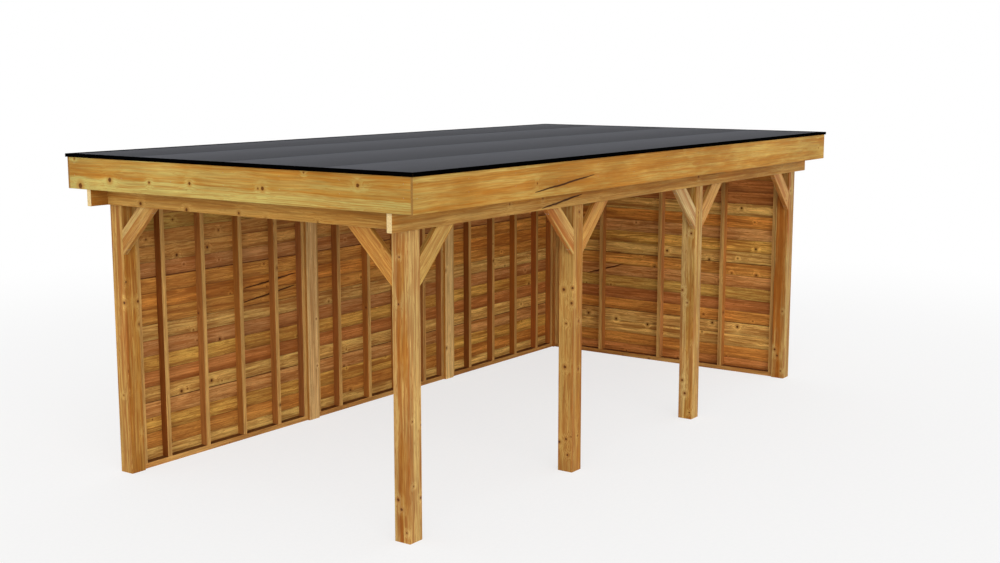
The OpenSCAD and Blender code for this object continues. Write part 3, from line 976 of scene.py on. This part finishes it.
for name, (grain, *tones) in braces.items():
    low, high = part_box(name)
    axis = 0 if grain.endswith("X") else 1
    other = 1 - axis
    rising = grain.startswith("rising")
    reach = high[axis] - low[axis]
    for share in fixingPlaces["braceEnds"]:
        for aside in fixingPlaces["braceSides"]:
            spot = Vector((0, 0, high.z - reach + share * reach))
            spot[axis] = low[axis] + share * reach if rising else high[axis] - share * reach
            spot[other] = low[other] + aside * (high[other] - low[other])
            lean = Vector((0, 0, -1))
            lean[axis] = 1 if rising else -1
            places["braceScrew"].append((spot, lean.normalized()))
for name in postHearts:
    low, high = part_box(name)
    front = name.startswith("front")
    y = high.y if front else low.y
    for drop in fixingPlaces["beamDrops"]:
        for across in fixingPlaces["beamSides"]:
            spot = Vector(((low.x + high.x) / 2 + across, y, high.z - drop))
            places["beamScrew"].append((spot, Vector((0, 1 if front else -1, 0))))
fixingTree = buildFixings()
head = bpy.data.objects.new("screwHead", headMesh())
scene.collection.objects.link(head)
for kind, spots in places.items():
    mesh = bpy.data.meshes.new(kind + "Places")
    mesh.from_pydata([tuple(spot) for spot, lean in spots], [], [])
    facing = mesh.attributes.new("facing", "FLOAT_VECTOR", "POINT")
    for k, (spot, lean) in enumerate(spots):
        facing.data[k].vector = lean
    values = {"head": head, "diameter": fixings[kind], "finish": nailZinc}
    piece = growPiece(kind + "s", fixingTree, mesh, values)
    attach(piece, "root")
    print(kind, len(spots), "heads,", len(piece.data.polygons), "faces")
bpy.data.objects.remove(head)

# roof sheets, with painted shade across each: paler by each lap and darker toward the next

sheetLook = {
    "pale": "505157",
    "dark": "3c3d42",
    "cover": 0.98,
    "firstLap": 0.07,
    "gloss": 0.06,
    "bump": 0.5,
    "depth": 0.0008,  # metres that the grit stands up
    "wave": (0.8, 3, 1),  # how fine each kind of mottling is, to a metre
    "mottle": (5, 9, 5),
    "grit": 420.0,
}
trimLook = {
    "tones": ("020202", "050505"),
    "peel": 260.0,
    "dust": (7, 7, 22),
    "gloss": 0.0,
    "bump": 0.15,
    "depth": 0.0003,
}


def roofSheetFelt(look):
    material, tree, shader = newMaterial("roofSheetFelt")
    coords = objectPoint(tree)
    parts = splitParts(tree, coords)
    wave = noise(tree, vectorCalc(tree, "MULTIPLY", coords, look["wave"]), 2)
    # painted shade: paler just in front of each lap, darker toward the next
    fromLap = calc(tree, "FRACT", over(tree, minus(tree, look["firstLap"], parts[1]), look["cover"]))
    paintedLapShade = timesPlus(tree, minus(tree, wave, 0.5), 0.12, fromLap)
    base = blend(tree, ease(tree, paintedLapShade, -0.05, 1.0), look["pale"], look["dark"])
    grit = noise(tree, scaleVector(tree, coords, look["grit"]), 2, 0.7)
    mottle = noise(tree, vectorCalc(tree, "MULTIPLY", coords, look["mottle"]), 4, 0.6)
    shade = timesPlus(tree, grit, 0.3, timesPlus(tree, mottle, 0.16, 0.77))
    tone, rough = scaleVector(tree, base, shade), timesPlus(tree, grit, 0.2, 0.65)
    setFinish(tree, shader, tone, rough, grit, look["bump"], look["depth"], look["gloss"])
    return material


def trimCoat(look):
    material, tree, shader = newMaterial("blackTrimCoat")
    coords = objectPoint(tree)
    peel = noise(tree, scaleVector(tree, coords, look["peel"]), 2)
    dust = noise(tree, vectorCalc(tree, "MULTIPLY", coords, look["dust"]), 3, 0.6)
    tone, rough = blend(tree, ease(tree, dust, 0.45, 0.8), *look["tones"]), timesPlus(tree, dust, 0.2, 0.5)
    setFinish(tree, shader, tone, rough, peel, look["bump"], look["depth"], look["gloss"])
    return material


dress("roof_sheet", roofSheetFelt(sheetLook))
dress("roof_trim", trimCoat(trimLook))
print("roof dressed")

# camera, light and floor

view = {
    "place": (-10.514, -7.448, 3.349),
    "pitchDown": 8.92,
    "turn": -54.73,
    "lens": 49.43,  # mm, for a sensor 36 mm wide
}
light = {
    "zenith": 0.38,
    "horizon": 1.4,  # the soft light comes mostly from the sides
    "sun": 1.8,
    "sunWidth": 75,  # degrees, which keeps its shadows soft
    "sunFrom": (-0.7, -0.68, 0.22),
    "floorTones": ("f2f2f2", "f6f6f6"),
    "floorReach": 90.0,
    "floorFade": (6.0, 13.0),  # where the floor turns into the white backdrop
    "floorLift": 0.72,  # how much of the floor's own shade is lifted to white for the camera
}

cameraData = bpy.data.cameras.new("camera")
cameraData.lens = view["lens"]
cameraData.clip_end = 400
camera = bpy.data.objects.new("camera", cameraData)
camera.location = view["place"]
camera.rotation_euler = (math.radians(90 - view["pitchDown"]), 0, math.radians(view["turn"]))
scene.collection.objects.link(camera)
scene.camera = camera
scene.view_settings.view_transform = "Standard"

world = bpy.data.worlds.new("studio")
world.use_nodes = True
scene.world = world
tree = world.node_tree
tree.nodes.clear()
path = addNode(tree, "ShaderNodeLightPath").outputs
mirrored = larger(tree, path["Is Glossy Ray"], path["Is Transmission Ray"])
seen = larger(tree, path["Is Camera Ray"], mirrored)
rise = splitParts(tree, addNode(tree, "ShaderNodeTexCoord").outputs["Generated"])[2]
sky = straight(tree, calc(tree, "ABSOLUTE", rise), 0.0, 1.0, light["horizon"], light["zenith"])
soft = nodeOut(tree, "ShaderNodeBackground", {"Color": (1, 1, 1, 1), "Strength": sky})
white = nodeOut(tree, "ShaderNodeBackground", {"Color": (1, 1, 1, 1)})
mixed = nodeOut(tree, "ShaderNodeMixShader", {0: seen, 1: soft, 2: white})
addNode(tree, "ShaderNodeOutputWorld", {"Surface": mixed})

sunData = bpy.data.lights.new("sun", "SUN")
sunData.energy = light["sun"]
sunData.angle = math.radians(light["sunWidth"])
sun = bpy.data.objects.new("sun", sunData)
sun.rotation_euler = Vector(light["sunFrom"]).to_track_quat("Z", "Y").to_euler()
scene.collection.objects.link(sun)

reach = light["floorReach"]
ground = cadLow.z - 0.0005  # just under the feet
corners = [(-reach, -reach, ground), (reach, -reach, ground), (reach, reach, ground), (-reach, reach, ground)]
floorMesh = bpy.data.meshes.new("floor")
floorMesh.from_pydata(corners, [], [(0, 1, 2, 3)])
floor = bpy.data.objects.new("floor", floorMesh)
scene.collection.objects.link(floor)
floorMaterial, tree, shader = newMaterial("floorPaper")
coords = objectPoint(tree)
speck = noise(tree, scaleVector(tree, coords, 30.0), 2)
floorTone = blend(tree, ease(tree, speck, 0.3, 0.7), *light["floorTones"])
fillSockets(tree, shader, {"Base Color": floorTone, "Roughness": 0.9, "Specular IOR Level": 0.0})
fade = ease(tree, lengthOf(tree, coords), *light["floorFade"], outLow=light["floorLift"])
path = addNode(tree, "ShaderNodeLightPath").outputs
glow = nodeOut(tree, "ShaderNodeEmission", {"Color": (1, 1, 1, 1)})
toWhite = times(tree, fade, path["Is Camera Ray"])
mixed = nodeOut(tree, "ShaderNodeMixShader", {0: toWhite, 1: shader.outputs[0], 2: glow})
output = next(node for node in tree.nodes if node.type == "OUTPUT_MATERIAL")
fillSockets(tree, output, {"Surface": mixed})
floorMesh.materials.append(floorMaterial)
print("camera, light and floor set")
